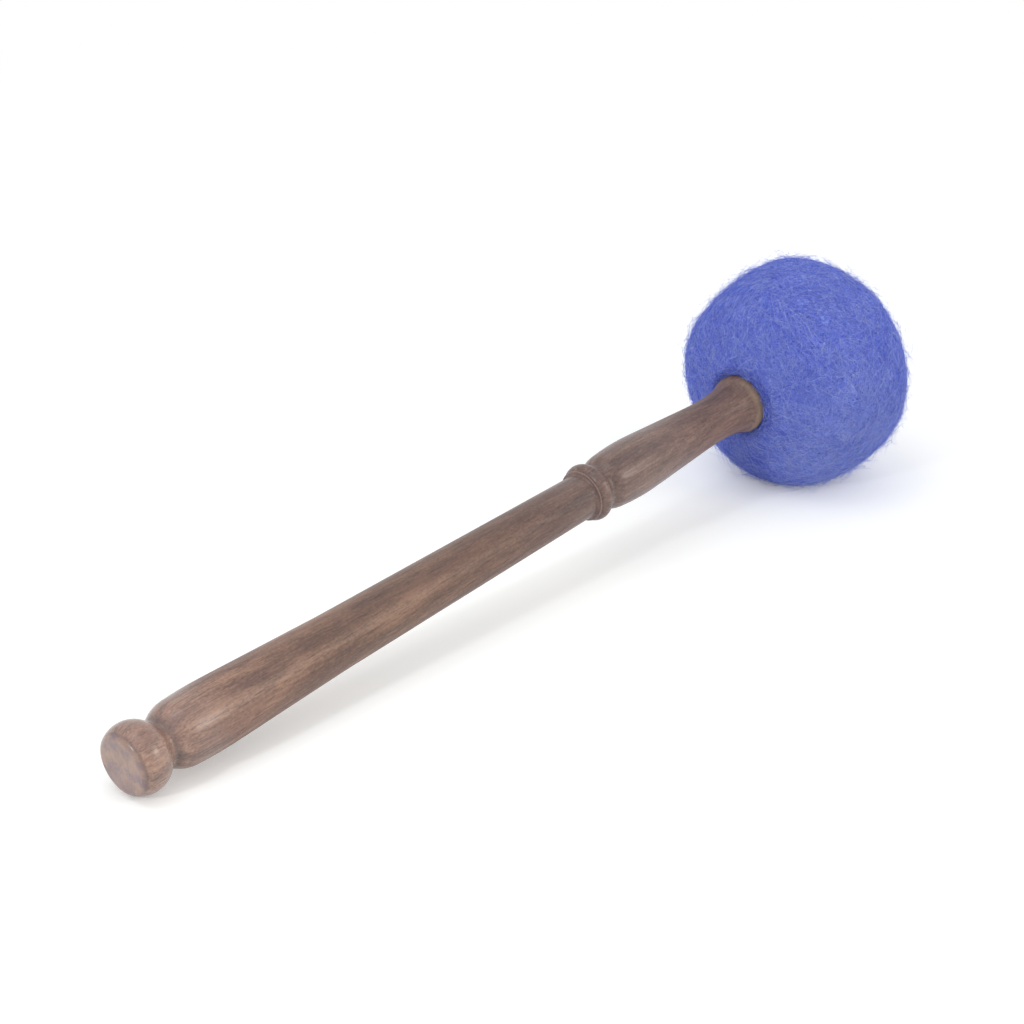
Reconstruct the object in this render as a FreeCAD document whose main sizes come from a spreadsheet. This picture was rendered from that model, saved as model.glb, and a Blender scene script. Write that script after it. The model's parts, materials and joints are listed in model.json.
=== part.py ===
import FreeCAD, Part
import math
import os
import re
import Sketcher

# Singing bowl mallet: a turned hardwood handle with a thick wool felt head.
# The mallet lies on a level surface as it is put down, on its knob and on its head.
# Row frame: +X from the knob to the head, +Z up, origin under the middle of the bounding box.
# Every piece is drawn along its own X axis, the turning axis, counted from the knob's end face,
# and the whole mallet is then tilted into its lying stance.

# Driving sizes in millimetres. A station is a distance from the knob's end face along the axis,
# a lead or a run is a distance between two stations, and a rise is a height over the foot radius.
SIZES = {
    # Knob: a ball with a flat end face and a softened edge
    "knob_crest": 5.8,
    "knob_radius": 11.4,
    "knob_ball": 9.1,
    "knob_edge": 2.1,
    # Neck: the narrow cove between knob and grip
    "neck_radius": 7.5,
    "neck_cove": 1.6,
    # Grip: round shoulder, slight crown, then a long taper to the foot that eases at the break
    "shoulder_round": 12.0,
    "grip_crest": 31.5,
    "grip_radius": 10.96,
    "grip_crown": 160.0,
    "break_station": 84.0,
    "break_radius": 9.33,
    "foot_radius": 7.6,
    # Ring: cove, thin lip, groove, bead and valley
    "foot_cove": 0.9,
    "lip_rise": 1.24,
    "lip_round": 0.35,
    "groove_rise": 0.92,
    "groove_round": 0.45,
    "bead_rise": 2.36,
    "bead_round": 2.7,
    "valley_rise": 0.1,
    "valley_round": 2.25,
    # Bulb: quick round shoulder, long swell, slow run down to the waist
    "bulb_lead": 21.2,
    "bulb_run": 43.9,
    "bulb_rise": 2.56,
    "bulb_shoulder": 9.5,
    "bulb_front": 118.0,
    "bulb_back": 90.0,
    # Collar: waist, flare and rounded rim that presses into the felt
    "handle_length": 287.2,
    "collar_lead": 18.2,
    "waist_rise": 0.35,
    "waist_round": 150.0,
    "rim_width": 3.6,
    "rim_break_rise": 1.68,
    "rim_rise": 2.84,
    "rim_edge": 2.0,
    # Tenon: the turned spigot that the head is glued on
    "tenon_radius": 6.0,
    "tenon_bevel": 0.8,
    "glue_film": 0.15,
    "glue_pocket": 0.6,
    # Head: a felted ball, slightly flattened along the axis, with full corners
    "collar_sink": 1.5,
    "head_half_length": 32.0,
    "head_radius": 40.0,
    "head_belly": 72.0,
    "head_corner": 19.0,
    "head_dome": 65.0,
    "mouth_round": 0.4,
    # Layers of the head from outside in, each with its thickness at the side and at the ends
    "skin_side": 9.0,
    "skin_end": 11.0,
    "wadding_side": 14.0,
    "wadding_end": 4.0,
    "wadding_bevel": 8.0,
    "soft_gap": 0.15,
    # Core: turned softwood block with bevelled ends and a blind hole for the tenon
    "core_bevel": 3.0,
    "core_floor": 5.0,
    # Rest: how far the felt is pressed flat where it lies
    "rest_flat": 0.5,
    # One overrun for every cut
    "overrun": 5.0,
}

doc = FreeCAD.newDocument("singing_bowl_mallet")
sheet = doc.addObject("Spreadsheet::Sheet", "sizes")
for row, (alias, size) in enumerate(SIZES.items(), start=1):
    sheet.set(f"A{row}", alias)
    sheet.set(f"B{row}", str(size))
    sheet.setAlias(f"B{row}", alias)
doc.recompute()


def linked(text):
    """Turn the size names in a sum into references to the sheet."""
    return re.sub("[a-z_]+", lambda name: "sizes." + name.group(), text)


def number(text):
    """Value of a sum of sizes in millimetres. An empty text stands for zero."""
    return float(sheet.evalExpression(linked(text))) if text else 0.0


# Stations and radii that several pieces share, counted back from the collar and on from it
RIM_CREST = "handle_length - rim_edge"
RIM_RADIUS = "foot_radius + rim_rise"
WAIST = "handle_length - collar_lead"
BULB = WAIST + " - bulb_run"
RING = BULB + " - bulb_lead"
HEAD = "handle_length - collar_sink + head_half_length"
WADDING_RADIUS = "head_radius - skin_side"
WADDING_HALF = "head_half_length - skin_end"
CORE_RADIUS = WADDING_RADIUS + " - wadding_side"
CORE_HALF = WADDING_HALF + " - wadding_end"
CORE_FRONT = f"{HEAD} - ({CORE_HALF})"
CORE_BACK = f"{HEAD} + {CORE_HALF}"
BORE_FLOOR = CORE_BACK + " - core_floor"
TENON_END = BORE_FLOOR + " - glue_pocket"

# Arcs of an outline, seen from the side with the axis below.
# The bend is a signed radius: above zero where the arc bulges, below zero where it is hollow.
BULGE, HOLLOW = 1, -1
LEFT, RIGHT = 1, -1


class Arc:
    """A circle's centre and bend, with the sums of sizes that fix it. What has no sum is solved."""

    def __init__(self, sign, radius, x_text=None, y_text=None, x=None, y=None, bend=None):
        self.sign = sign
        self.radius = radius
        self.x_text = x_text
        self.y_text = y_text
        self.bend = sign * number(radius) if bend is None else bend
        self.x = number(x_text) if x is None else x
        self.y = number(y_text) if y is None else y

    def turning_point(self):
        """Point where the arc runs level: the top of a bulge, the bottom of a hollow."""
        return (self.x, self.y + self.bend)


def crest(station, height, radius):
    """Bulge whose top is at a station and a height."""
    return Arc(BULGE, radius, x_text=station, y_text=f"{height} - {radius}")


def trough(station, height, radius):
    """Hollow whose bottom is at a station and a height."""
    return Arc(HOLLOW, radius, x_text=station, y_text=f"{height} + {radius}")


def beside(neighbour, sign, height, radius, side):
    """Arc that turns at a height, tangent to a neighbour of the other sign, on its left or right."""
    y_text = f"{height} - {radius}" if sign == BULGE else f"{height} + {radius}"
    reach = abs(neighbour.bend) + number(radius)
    run = math.sqrt(reach ** 2 - (number(y_text) - neighbour.y) ** 2)
    return Arc(sign, radius, y_text=y_text, x=neighbour.x - side * run)


def softened_edge(neighbour, station, radius):
    """Small bulge inside the end of a larger one, with its centre at a station."""
    reach = neighbour.bend - number(radius)
    rise = math.sqrt(reach ** 2 - (number(station) - neighbour.x) ** 2)
    return Arc(BULGE, radius, x_text=station, y=neighbour.y + rise)


def continued(arc, radius):
    """Arc that goes on from another arc's turning point with another radius."""
    x, level = arc.turning_point()
    bend = arc.sign * number(radius)
    return Arc(arc.sign, radius, x=x, y=level - bend, bend=bend)


def through(sign, level_point, other_point):
    """Arc that is level at one point and passes through another. Its radius follows from both."""
    run = other_point[0] - level_point[0]
    drop = level_point[1] - other_point[1]
    bend = (run ** 2 + drop ** 2) / (2 * drop)
    return Arc(sign, None, x=level_point[0], y=level_point[1] - bend, bend=bend)


def between(first, second, sign, radius, side=LEFT):
    """Arc tangent to two others, on one side of the way from the first centre to the second."""
    bend = sign * number(radius)
    reach_first = abs(first.bend - bend)
    reach_second = abs(second.bend - bend)
    run, rise = second.x - first.x, second.y - first.y
    span = math.hypot(run, rise)
    along = (reach_first ** 2 - reach_second ** 2 + span ** 2) / (2 * span)
    across = side * math.sqrt(reach_first ** 2 - along ** 2)
    x = first.x + (along * run - across * rise) / span
    y = first.y + (along * rise + across * run) / span
    return Arc(sign, radius, x=x, y=y)


def meeting(first, second):
    """Point where two tangent arcs meet."""
    share = first.bend / (first.bend - second.bend)
    return (first.x + (second.x - first.x) * share, first.y + (second.y - first.y) * share)


def tangent_point(bulge, point):
    """Where a straight line to a point on the right leaves a bulge."""
    run, rise = point[0] - bulge.x, point[1] - bulge.y
    angle = math.atan2(rise, run) + math.acos(bulge.bend / math.hypot(run, rise))
    return (bulge.x + bulge.bend * math.cos(angle), bulge.y + bulge.bend * math.sin(angle))


def tangent_points(bulge, hollow):
    """Ends of the straight line that runs down from a bulge into the hollow after it."""
    run, rise = hollow.x - bulge.x, hollow.y - bulge.y
    reach = bulge.bend - hollow.bend
    angle = math.atan2(rise, run) + math.acos(reach / math.hypot(run, rise))
    across, up = math.cos(angle), math.sin(angle)
    return [(arc.x + arc.bend * across, arc.y + arc.bend * up) for arc in (bulge, hollow)]


# Sketches. An outline runs from left to right, and each curve is known by its two ends.
START, END, CENTRE = 1, 2, 3
ORIGIN = (-1, 1)
AXIS = -1


class Outline:
    """A sketch on a body's XY plane, with its values tied to the sheet."""

    def __init__(self, body, name):
        self.sketch = body.newObject("Sketcher::SketchObject", name)
        support = [item for item in body.Origin.OriginFeatures if item.Role == "XY_Plane"]
        self.sketch.AttachmentSupport = (support[0], "")
        self.sketch.MapMode = "FlatFace"
        self.sketch.Visibility = False

    def rule(self, *terms, text=None):
        """Add a constraint, and tie its value to the sheet where it has one."""
        index = self.sketch.addConstraint(Sketcher.Constraint(*terms))
        if text:
            self.sketch.setExpression(f"Constraints[{index}]", linked(text))

    def place_x(self, point, text):
        self.rule("DistanceX", *ORIGIN, *point, number(text), text=text)

    def place_y(self, point, text):
        if text:
            self.rule("DistanceY", *ORIGIN, *point, number(text), text=text)
        else:
            self.rule("PointOnObject", *point, AXIS)

    def place(self, point, x_text, y_text):
        """Fix a point at a station and a height. Two empty texts put it at the origin."""
        if x_text:
            self.place_x(point, x_text)
            self.place_y(point, y_text)
        else:
            self.join(point, ORIGIN)

    def join(self, first, second):
        self.rule("Coincident", *first, *second)

    def level(self, ends_of_arc, end):
        """Make an arc run level at one of its ends."""
        self.rule("Vertical", *end, ends_of_arc[0][0], CENTRE)

    def upright(self, ends_of_arc, end):
        """Make an arc run upright at one of its ends."""
        self.rule("Horizontal", *end, ends_of_arc[0][0], CENTRE)

    def arc(self, shape, left, right):
        """Draw an arc between two points, and return its left and right ends."""
        begin, finish = (right, left) if shape.sign == BULGE else (left, right)
        angles = [math.atan2(point[1] - shape.y, point[0] - shape.x) for point in (begin, finish)]
        middle = FreeCAD.Vector(shape.x, shape.y, 0)
        circle = Part.Circle(middle, FreeCAD.Vector(0, 0, 1), abs(shape.bend))
        index = self.sketch.addGeometry(Part.ArcOfCircle(circle, *angles))
        if shape.radius:
            self.rule("Radius", index, abs(shape.bend), text=shape.radius)
        if shape.x_text is not None:
            self.place_x((index, CENTRE), shape.x_text)
        if shape.y_text is not None:
            self.place_y((index, CENTRE), shape.y_text)
        if shape.sign == BULGE:
            return ((index, END), (index, START))
        return ((index, START), (index, END))

    def chain(self, arcs, left, right):
        """Draw tangent arcs from a left point to a right point, and return the ends of each."""
        points = [left] + [meeting(*pair) for pair in zip(arcs, arcs[1:])] + [right]
        ends = [self.arc(*item) for item in zip(arcs, points, points[1:])]
        for before, after in zip(ends, ends[1:]):
            self.rule("Tangent", *before[1], *after[0])
        return ends

    def line(self, left, right):
        """Draw a straight line between two points, and return its two ends."""
        ends = [FreeCAD.Vector(point[0], point[1], 0) for point in (left, right)]
        index = self.sketch.addGeometry(Part.LineSegment(*ends))
        return ((index, START), (index, END))

    def path(self, corners):
        """Draw straight lines through fixed corners, and return the ends of each.

        A corner is a station and a height as sums of sizes, and an empty text is zero.
        """
        points = [(number(x_text), number(y_text)) for x_text, y_text in corners]
        ends = [self.line(*pair) for pair in zip(points, points[1:])]
        for before, after in zip(ends, ends[1:]):
            self.join(before[1], after[0])
        for (start, _), corner in zip(ends, corners):
            self.place(start, *corner)
        self.place(ends[-1][1], *corners[-1])
        return ends

    def closed(self, corners):
        """Draw a closed polygon through fixed corners."""
        ends = self.path(corners)
        last, first = [tuple(map(number, corners[index])) for index in (-1, 0)]
        closing = self.line(last, first)
        self.join(ends[-1][1], closing[0])
        self.join(closing[1], ends[0][0])
        return self


def new_body(name):
    body = doc.addObject("PartDesign::Body", name)
    body.Label = name
    return body


def turned(kind, outline, name):
    """Turn a closed outline about the axis. A Revolution adds material, a Groove takes it away."""
    body = outline.sketch.getParentGeoFeatureGroup()
    feature = body.newObject(f"PartDesign::{kind}", name)
    feature.Profile = outline.sketch
    feature.ReferenceAxis = (outline.sketch, ["H_Axis"])
    return feature


# Handle: one piece of hardwood, turned with knob, neck, grip, ring, bulb, collar and tenon
def make_handle():
    body = new_body("handle")
    outline = Outline(body, "handle_outline")

    knob = crest("knob_crest", "knob_radius", "knob_ball")
    face_edge = softened_edge(knob, "knob_edge", "knob_edge")
    neck = beside(knob, HOLLOW, "neck_radius", "neck_cove", RIGHT)
    crown = crest("grip_crest", "grip_radius", "grip_crown")
    shoulder = between(neck, crown, BULGE, "shoulder_round")
    bead = crest(RING, "foot_radius + bead_rise", "bead_round")
    groove = beside(bead, HOLLOW, "foot_radius + groove_rise", "groove_round", LEFT)
    lip = beside(groove, BULGE, "foot_radius + lip_rise", "lip_round", LEFT)
    foot = beside(lip, HOLLOW, "foot_radius", "foot_cove", LEFT)
    foot_point = foot.turning_point()
    grip_break = (number("break_station"), number("break_radius"))
    crown_end = tangent_point(crown, grip_break)
    valley = beside(bead, HOLLOW, "foot_radius + valley_rise", "valley_round", RIGHT)
    bulb_front = crest(BULB, "foot_radius + bulb_rise", "bulb_front")
    bulb_shoulder = between(valley, bulb_front, BULGE, "bulb_shoulder")
    bulb_back = continued(bulb_front, "bulb_back")
    waist = trough(WAIST, "foot_radius + waist_rise", "waist_round")
    rim_break = (number(RIM_CREST + " - rim_width"), number("foot_radius + rim_break_rise"))
    rim_top = (number(RIM_CREST), number(RIM_RADIUS))
    flare = through(HOLLOW, waist.turning_point(), rim_break)
    rim_band = through(BULGE, rim_top, rim_break)
    rim_edge = continued(rim_band, "rim_edge")

    # Knob to crown, then two straight tapers to the foot
    face_top = (0.0, face_edge.y)
    grip = outline.chain([face_edge, knob, neck, shoulder, crown], face_top, crown_end)
    outline.upright(grip[0], grip[0][0])
    upper_taper = outline.line(crown_end, grip_break)
    lower_taper = outline.line(grip_break, foot_point)
    outline.rule("Tangent", *grip[-1][1], *upper_taper[0])
    outline.place(upper_taper[1], "break_station", "break_radius")
    outline.join(upper_taper[1], lower_taper[0])

    # Foot to the top of the bulb
    ring = [foot, lip, groove, bead, valley, bulb_shoulder, bulb_front]
    ring = outline.chain(ring, foot_point, bulb_front.turning_point())
    outline.level(ring[0], ring[0][0])
    outline.level(ring[-1], ring[-1][1])
    outline.join(lower_taper[1], ring[0][0])

    # Top of the bulb to the bottom of the waist, with a straight run between
    slope = tangent_points(bulb_back, waist)
    fall = outline.arc(bulb_back, bulb_front.turning_point(), slope[0])
    run = outline.line(*slope)
    dip = outline.arc(waist, slope[1], waist.turning_point())
    outline.join(ring[-1][1], fall[0])
    outline.level(fall, fall[0])
    outline.rule("Tangent", *fall[1], *run[0])
    outline.rule("Tangent", *run[1], *dip[0])
    outline.level(dip, dip[1])

    # Waist to the rim: the flare meets the rounded rim band in a crisp line
    rise = outline.arc(flare, waist.turning_point(), rim_break)
    outline.join(dip[1], rise[0])
    outline.level(rise, rise[0])
    band = outline.arc(rim_band, rim_break, rim_top)
    outline.join(rise[1], band[0])
    outline.place(band[0], RIM_CREST + " - rim_width", "foot_radius + rim_break_rise")
    outline.level(band, band[1])
    outline.place(band[1], RIM_CREST, RIM_RADIUS)
    back_top = (number("handle_length"), rim_edge.y)
    lip_over = outline.arc(rim_edge, rim_top, back_top)
    outline.join(band[1], lip_over[0])
    outline.level(lip_over, lip_over[0])
    outline.upright(lip_over, lip_over[1])

    # Back face, tenon with a bevelled end, and the axis back to the knob
    corners = [
        ("handle_length", "tenon_radius"),
        (TENON_END + " - tenon_bevel", "tenon_radius"),
        (TENON_END, "tenon_radius - tenon_bevel"),
        (TENON_END, ""),
        ("", ""),
    ]
    tenon = outline.path(corners)
    back = outline.line(back_top, (number("handle_length"), number("tenon_radius")))
    outline.join(lip_over[1], back[0])
    outline.join(back[1], tenon[0][0])
    face = outline.line((0.0, 0.0), face_top)
    outline.join(tenon[-1][1], face[0])
    outline.join(face[1], grip[0][0])

    turned("Revolution", outline, "handle_turning")
    return body


def drum_outline(body, name, half_length, radius, bevel, gap):
    """Side view of a bevelled drum about the head's centre, larger by a gap on every side."""
    front = f"{HEAD} - ({half_length}{gap})"
    back = f"{HEAD} + {half_length}{gap}"
    side = radius + gap
    shoulder = f"{side} - {bevel}"
    return Outline(body, name).closed([
        (front, ""),
        (front, shoulder),
        (f"{front} + {bevel}", side),
        (f"{back} - {bevel}", side),
        (back, shoulder),
        (back, ""),
    ])


def core_outline(body, name, gap=""):
    return drum_outline(body, name, CORE_HALF, CORE_RADIUS, "core_bevel", gap)


def wadding_outline(body, name, gap=""):
    return drum_outline(body, name, WADDING_HALF, WADDING_RADIUS, "wadding_bevel", gap)


# Core: a turned softwood block that gives the head its weight and takes the tenon
def make_core():
    body = new_body("head_core")
    turned("Revolution", core_outline(body, "core_outline"), "core_turning")
    hole = Outline(body, "core_hole_outline").closed([
        (CORE_FRONT + " - overrun", ""),
        (CORE_FRONT + " - overrun", "tenon_radius + glue_film"),
        (BORE_FLOOR, "tenon_radius + glue_film"),
        (BORE_FLOOR, ""),
    ])
    turned("Groove", hole, "core_hole")
    return body


# Glue: the film round the tenon and the small pool at the bottom of the hole
def make_glue():
    body = new_body("tenon_glue")
    film = Outline(body, "glue_outline").closed([
        (CORE_FRONT, "tenon_radius"),
        (CORE_FRONT, "tenon_radius + glue_film"),
        (BORE_FLOOR, "tenon_radius + glue_film"),
        (BORE_FLOOR, ""),
        (TENON_END, ""),
        (TENON_END, "tenon_radius - tenon_bevel"),
        (TENON_END + " - tenon_bevel", "tenon_radius"),
    ])
    turned("Revolution", film, "glue_cup")
    return body


def head_outline(body, name):
    """Side view of the felted head: two domes, two full corners and a belly."""
    outline = Outline(body, name)
    front_centre = HEAD + " - head_half_length + head_dome"
    back_centre = HEAD + " + head_half_length - head_dome"
    front = Arc(BULGE, "head_dome", x_text=front_centre, y_text="")
    belly = crest(HEAD, "head_radius", "head_belly")
    back = Arc(BULGE, "head_dome", x_text=back_centre, y_text="")
    front_corner = between(front, belly, BULGE, "head_corner", RIGHT)
    back_corner = between(belly, back, BULGE, "head_corner", RIGHT)
    front_end = (front.x - front.bend, 0.0)
    back_end = (back.x + back.bend, 0.0)
    arcs = outline.chain([front, front_corner, belly, back_corner, back], front_end, back_end)
    outline.place_y(arcs[0][0], "")
    outline.place_y(arcs[-1][1], "")
    axis = outline.line(back_end, front_end)
    outline.join(arcs[-1][1], axis[0])
    outline.join(axis[1], arcs[0][0])
    return outline


# Wadding: carded wool wound round the core, with the tenon's way in
def make_wadding():
    body = new_body("wool_wadding")
    turned("Revolution", wadding_outline(body, "wadding_outline"), "wadding_form")
    turned("Groove", core_outline(body, "core_space_outline", " + soft_gap"), "core_space")
    way_in = Outline(body, "wadding_way_in_outline").closed([
        ("handle_length", ""),
        ("handle_length", "tenon_radius + soft_gap"),
        (CORE_FRONT, "tenon_radius + soft_gap"),
        (CORE_FRONT, ""),
    ])
    turned("Groove", way_in, "wadding_way_in")
    return body


def mouth_edge(shape):
    """Name of the edge where the felt's outer surface turns into the seat of the collar."""
    radius = number(RIM_RADIUS + " + soft_gap")
    found = []
    for index, item in enumerate(shape.Edges, start=1):
        if item.Degenerated or not isinstance(item.Curve, Part.Circle):
            continue
        if math.isclose(item.Curve.Radius, radius, rel_tol=1e-6):
            found.append((item.Curve.Center.x, f"Edge{index}"))
    return min(found)[1]


# Skin: the dyed outer felt, with a seat for the collar and a flat where it lies
def make_skin():
    body = new_body("felt_form")
    turned("Revolution", head_outline(body, "skin_outline"), "skin_form")
    turned("Groove", wadding_outline(body, "skin_space_outline", " + soft_gap"), "skin_space")
    front = HEAD + " - head_half_length - overrun"
    seat = Outline(body, "collar_seat_outline").closed([
        (front, ""),
        (front, RIM_RADIUS + " + soft_gap"),
        ("handle_length + soft_gap", RIM_RADIUS + " + soft_gap"),
        ("handle_length + soft_gap", "tenon_radius + soft_gap"),
        (CORE_FRONT, "tenon_radius + soft_gap"),
        (CORE_FRONT, ""),
    ])
    seat_cut = turned("Groove", seat, "collar_seat")
    doc.recompute()
    mouth = body.newObject("PartDesign::Fillet", "seat_mouth")
    mouth.Base = (seat_cut, [mouth_edge(seat_cut.Shape)])
    mouth.setExpression("Radius", linked("mouth_round"))
    body.Tip = mouth
    return body


def lying_stance():
    """Tilt and place the axis so that the head and the knob, or a thicker grip, touch the level z = 0.

    Knob and grip are bulges turned about the axis, and the head's centre stands at its rest height.
    """
    knob = crest("knob_crest", "knob_radius", "knob_ball")
    crown = crest("grip_crest", "grip_radius", "grip_crown")
    rest_height = number("head_radius - rest_flat")
    tilts = []
    for support in (knob, crown):
        span = number(HEAD) - support.x
        slope = math.asin((rest_height - support.bend) / math.hypot(span, support.y))
        tilts.append(slope - math.atan2(support.y, span))
    tilt = min(tilts)
    lift = rest_height - number(HEAD) * math.sin(tilt)
    # Ends of the mallet along the row's X axis: the knob's upper edge and the head's far dome
    edge = number("knob_edge")
    face = softened_edge(knob, "knob_edge", "knob_edge").y
    near = edge * math.cos(tilt) - face * math.sin(tilt) - edge
    dome = number("head_dome")
    far = number(HEAD + " + head_half_length - head_dome") * math.cos(tilt) + dome
    turn = FreeCAD.Rotation(FreeCAD.Vector(0, -1, 0), math.degrees(tilt))
    return FreeCAD.Placement(FreeCAD.Vector(-(near + far) / 2, 0, lift), turn)


def make_floor_block(stance):
    """Block under the head that presses the felt flat at z = 0."""
    block = doc.addObject("Part::Box", "floor_block")
    for side in ("Length", "Width"):
        block.setExpression(side, linked("head_radius * 2"))
    block.setExpression("Height", linked("head_radius"))
    head = stance.multVec(FreeCAD.Vector(number(HEAD), 0, 0))
    half = number("head_radius")
    corner = FreeCAD.Vector(head.x - half, -half, -number("head_radius"))
    block.Placement = FreeCAD.Placement(corner, FreeCAD.Rotation())
    block.Visibility = False
    return block


stance = lying_stance()
handle = make_handle()
glue = make_glue()
core = make_core()
wadding = make_wadding()
skin_form = make_skin()
for piece in (handle, glue, core, wadding, skin_form):
    piece.Placement = stance
skin = doc.addObject("Part::Cut", "felt_skin")
skin.Label = "felt_skin"
skin.Base = skin_form
skin.Tool = make_floor_block(stance)
doc.recompute()

# Nothing is written until every object has been computed and every piece is a sound solid
for item in doc.Objects:
    if "Invalid" in item.State or "Error" in item.State:
        raise RuntimeError(f"{item.Label} could not be computed: {item.State}")

os.makedirs("parts", exist_ok=True)
for piece in (handle, glue, core, wadding, skin):
    shape = piece.Shape
    if shape.isNull() or not shape.isValid() or len(shape.Solids) != 1:
        raise RuntimeError(f"{piece.Label} is not one sound solid")
    print(f"{piece.Label}: {shape.Volume / 1000:.2f} cubic centimetres, {len(shape.Faces)} faces")

for piece in (handle, glue, core, wadding, skin):
    piece.Shape.exportStep(f"parts/{piece.Label}.step")

print(f"The axis is tilted by {math.degrees(stance.Rotation.Angle):.2f} degrees")
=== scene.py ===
# %% [markdown]
# # A singing bowl mallet
# The mallet is a turned hardwood handle that ends in a thick ball of blue wool felt. It lies on a
# white surface, on its knob and on its head.
# The solids come from a CAD model. Blender gives them what CAD can't: grain
# and pores in the wood, and thousands of loose, curly wool fibres on the felt.
# Everything is in metres and in the CAD model's own frame.

# %% Load the frame
import json
import math

import bpy
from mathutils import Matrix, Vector


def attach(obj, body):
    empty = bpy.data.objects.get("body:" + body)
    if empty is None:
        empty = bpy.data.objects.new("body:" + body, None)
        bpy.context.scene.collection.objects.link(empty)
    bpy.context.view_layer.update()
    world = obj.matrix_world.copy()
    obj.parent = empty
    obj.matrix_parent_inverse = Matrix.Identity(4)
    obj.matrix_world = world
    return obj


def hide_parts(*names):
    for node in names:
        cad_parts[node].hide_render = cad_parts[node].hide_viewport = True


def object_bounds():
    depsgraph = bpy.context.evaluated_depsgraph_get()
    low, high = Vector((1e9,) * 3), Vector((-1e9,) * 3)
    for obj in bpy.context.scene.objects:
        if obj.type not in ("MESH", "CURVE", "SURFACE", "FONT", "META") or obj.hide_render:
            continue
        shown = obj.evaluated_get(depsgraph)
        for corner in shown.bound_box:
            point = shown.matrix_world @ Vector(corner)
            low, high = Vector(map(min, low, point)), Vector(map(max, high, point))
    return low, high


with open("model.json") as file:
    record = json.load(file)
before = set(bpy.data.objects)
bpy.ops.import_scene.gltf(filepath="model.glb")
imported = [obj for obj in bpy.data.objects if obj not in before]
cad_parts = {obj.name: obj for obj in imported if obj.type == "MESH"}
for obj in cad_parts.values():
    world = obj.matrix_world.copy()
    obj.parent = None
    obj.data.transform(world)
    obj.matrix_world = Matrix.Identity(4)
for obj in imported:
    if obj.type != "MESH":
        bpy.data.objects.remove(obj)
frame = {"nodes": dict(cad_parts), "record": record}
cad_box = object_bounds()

scene = bpy.context.scene
nodes = frame["nodes"]
print("CAD pieces:", ", ".join(sorted(nodes)))

# %% [markdown]
# ## Camera
# The photograph was taken with a long lens from about a metre, looking down by 25 degrees. A Track
# To constraint could aim a camera, but its place and turn were fitted to the outline of the head
# and the direction of the handle, so both are simply written down.

# %% Camera
LENS_MM = 95.0
CAMERA_PLACE = (-0.59419, -0.53352, 0.39715)
CAMERA_TURN = [math.radians(angle) for angle in (65.42, 0.0, -47.67)]


def add_object(name, data):
    """Put a mesh, a lamp or a camera into the scene."""
    thing = bpy.data.objects.new(name, data)
    scene.collection.objects.link(thing)
    return thing


camera_data = bpy.data.cameras.new("camera")
camera_data.lens = LENS_MM
camera = add_object("camera", camera_data)
camera.location = CAMERA_PLACE
camera.rotation_euler = CAMERA_TURN
scene.camera = camera
scene.view_settings.view_transform = "Standard"
print(f"The camera is {Vector(CAMERA_PLACE).length:.2f} m from the mallet's middle")

# %% [markdown]
# ## The turning axis
# Every piece of the mallet was turned or felted round one line. It rises a little towards the head,
# which is thicker than the knob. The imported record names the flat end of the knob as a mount, with
# its centre and direction, so the axis is read from there. A point of the mallet is then known by
# its station, the distance from the knob's end along the axis, and its radius about the axis.

# %% Axis
ROUND_TO, SAME_STATION = 6, 5    # decimals of a metre

knob_end = next(mount for mount in frame["record"]["mounts"] if mount["name"] == "knob_end")
AXIS_START = Vector(knob_end["pos_m"])
AXIS = -Vector(knob_end["axis"]).normalized()
AXIS_TILT = math.asin(AXIS.z)


def on_axis(station):
    return AXIS_START + station * AXIS


def turned_points(node):
    """Stations and radii of a turned piece's corners, in order along the axis and inwards."""
    found = set()
    for corner in node.data.vertices:
        arm = corner.co - AXIS_START
        station = arm.dot(AXIS)
        radius = (arm - station * AXIS).length
        found.add((round(station, ROUND_TO), round(radius, ROUND_TO)))
    return sorted(found, key=lambda point: (round(point[0], SAME_STATION), -point[1]))


print(f"The axis rises by {math.degrees(AXIS_TILT):.2f} degrees")

# %% [markdown]
# ## Sockets that calculate
# Materials and Geometry Nodes are both trees of nodes. Linking each node by hand hides the idea
# behind a wall of calls. So one small class wraps an output socket, and adding or multiplying two
# of them adds the Math node for it.

# %% Terms
def math_operator(operation, reflected=False):
    """Method that adds a Math node, with its operands the other way round if reflected."""
    def apply(self, other):
        pair = [other, self] if reflected else [self, other]
        return self.graph.math(operation, *pair)
    return apply


class Term:
    """An output socket that can be calculated with."""

    def __init__(self, graph, socket):
        self.graph = graph
        self.socket = socket

    def __getitem__(self, name):
        """Another output of the same node."""
        return Term(self.graph, find_socket(self.socket.node.outputs, name))

    __add__, __radd__ = math_operator("ADD"), math_operator("ADD", True)
    __sub__, __rsub__ = math_operator("SUBTRACT"), math_operator("SUBTRACT", True)
    __mul__, __rmul__ = math_operator("MULTIPLY"), math_operator("MULTIPLY", True)
    __truediv__, __rtruediv__ = math_operator("DIVIDE"), math_operator("DIVIDE", True)


def find_socket(sockets, name):
    """Socket by its place or its name, passing over those that are switched off."""
    usable = [socket for socket in sockets if socket.enabled]
    if isinstance(name, int):
        return usable[name]
    return next(socket for socket in usable if socket.name == name)


# %% [markdown]
# ## Trees filled by method calls
# Any other node comes from one method. It sets the node's settings first, because a setting can
# switch sockets on and off. The rest are short names for nodes that come up again and again.

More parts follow.
